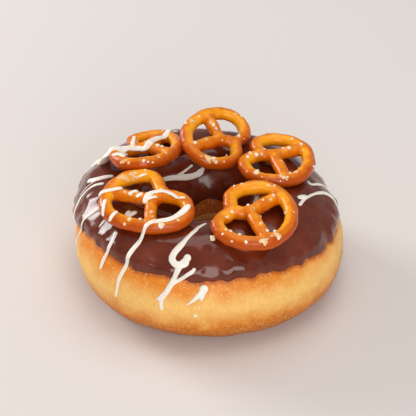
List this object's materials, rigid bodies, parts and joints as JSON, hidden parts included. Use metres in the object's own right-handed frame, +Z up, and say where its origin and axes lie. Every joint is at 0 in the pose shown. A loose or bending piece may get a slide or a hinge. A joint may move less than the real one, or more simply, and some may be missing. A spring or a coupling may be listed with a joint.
{
  "type": "chocolate-iced ring doughnut with mini pretzels",
  "caption": "Ring doughnut dipped in chocolate icing, drizzled with white chocolate and topped with salted mini pretzels.",
  "frame": {"origin": "middle of the ring, on the surface it rests on", "axes": "+Z up through the hole, +X to the right and +Y away from the side that is seen from the front"},
  "size_m": [0.0949, 0.0944, 0.049],
  "materials": {
    "fried_dough": "golden fried yeast dough, slightly oily, with a paler band round its side",
    "chocolate_icing": "set milk chocolate icing, softly and unevenly glossy",
    "baked_pretzel": "hard lye-baked crust, glossy",
    "white_chocolate": "set white chocolate drizzle, satin",
    "salt": "coarse salt grains"
  },
  "bodies": {
    "root": {"dough_ring": "fried_dough", "chocolate_icing": "chocolate_icing", "pretzel_front_right": "baked_pretzel", "pretzel_right": "baked_pretzel", "pretzel_back": "baked_pretzel", "pretzel_front_left": "baked_pretzel", "pretzel_back_left": "baked_pretzel"}
  },
  "joints": []
}
